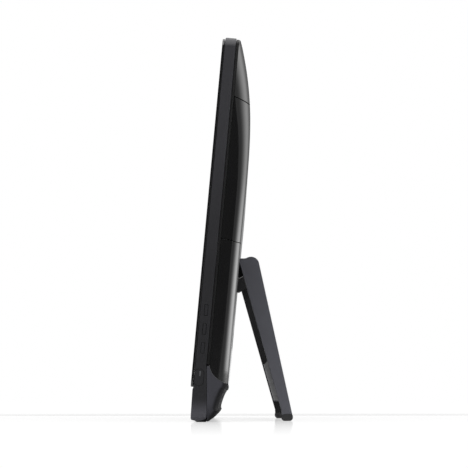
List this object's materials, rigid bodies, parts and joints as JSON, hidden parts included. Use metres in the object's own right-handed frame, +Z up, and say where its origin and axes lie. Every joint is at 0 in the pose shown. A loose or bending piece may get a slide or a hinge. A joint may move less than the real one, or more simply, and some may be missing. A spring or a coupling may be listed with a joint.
{
  "type": "all in one pc",
  "caption": "Slim desktop computer built into its screen, leaning back on a hinged easel stand.",
  "frame": {"origin": "middle of the footprint, on the surface that it stands on", "axes": "+Z up, +X to the right of someone facing the back of the screen plane along +Y, the screen faces -Y"},
  "size_m": [0.489, 0.0988, 0.3645],
  "materials": {
    "glass": "black glass, high gloss",
    "frame": "fine matte charcoal texture",
    "cover": "piano black gloss",
    "band": "matte black",
    "stand": "satin dark grey",
    "rubber": "matte black rubber",
    "steel": "satin",
    "copper": "satin copper",
    "aluminium": "satin",
    "board": "solder mask green",
    "plastic": "matte black",
    "panel": "dark display, switched off",
    "light": "milky light pipe"
  },
  "bodies": {
    "computer": {"front_glass": "glass", "front_frame": "frame", "base_cover": "frame", "rear_cover_upper": "cover", "rear_cover_middle": "cover", "rear_cover_lower": "cover", "chassis_band": "band", "hinge_bracket_left": "stand", "hinge_bracket_right": "stand", "foot_pad_left": "rubber", "foot_pad_right": "rubber", "chassis_plate": "steel", "hard_drive_cage": "steel", "coin_cell": "steel", "usb_socket_1": "steel", "usb_socket_2": "steel", "hdmi_socket": "steel", "usb_socket_side_1": "steel", "usb_socket_side_2": "steel", "cover_screw_lower_left": "steel", "cover_screw_lower_right": "steel", "cover_screw_upper_left": "steel", "cover_screw_upper_right": "steel", "heat_pipe": "copper", "processor_cold_plate": "copper", "heat_sink": "aluminium", "hard_drive": "aluminium", "system_board": "board", "memory_module": "board", "wireless_card": "board", "connector_board": "board", "camera_module": "board", "button_board": "board", "speaker_grille_left": "plastic", "speaker_grille_right": "plastic", "speaker_left": "plastic", "speaker_right": "plastic", "fan_housing": "plastic", "connector_plate": "plastic", "power_inlet": "plastic", "lan_socket": "plastic", "headset_socket": "plastic", "card_slot": "plastic", "lcd_panel": "panel"},
    "stand": {"stand_frame": "stand", "stand_foot_left": "rubber", "stand_foot_right": "rubber", "hinge_pin_left": "steel", "hinge_pin_right": "steel"},
    "fan": {"fan_rotor": "plastic"},
    "power_button": {"power_button": "frame", "power_light": "light"},
    "display_button": {"display_button": "frame"},
    "brightness_up_button": {"brightness_up_button": "frame"},
    "brightness_down_button": {"brightness_down_button": "frame"}
  },
  "joints": [
    {"name": "stand_hinge", "type": "hinge", "parent": "computer", "child": "stand", "pos_m": [0, 0.0083, 0.154], "axis": [1, 0, 0], "range_deg": [-19.5, 25]},
    {"name": "fan_spin", "type": "hinge", "parent": "computer", "child": "fan", "pos_m": [-0.07, -0.0101, 0.23526], "axis": [0, 0.9958, -0.0912], "continuous": true},
    {"name": "power_press", "type": "slide", "parent": "computer", "child": "power_button", "axis": [-1, 0, 0], "range_m": [0, 0.0008], "stiffness_N_per_m": 1500},
    {"name": "display_press", "type": "slide", "parent": "computer", "child": "display_button", "axis": [-1, 0, 0], "range_m": [0, 0.0008], "stiffness_N_per_m": 1200},
    {"name": "brightness_up_press", "type": "slide", "parent": "computer", "child": "brightness_up_button", "axis": [-1, 0, 0], "range_m": [0, 0.0008], "stiffness_N_per_m": 1200},
    {"name": "brightness_down_press", "type": "slide", "parent": "computer", "child": "brightness_down_button", "axis": [-1, 0, 0], "range_m": [0, 0.0008], "stiffness_N_per_m": 1200}
  ]
}
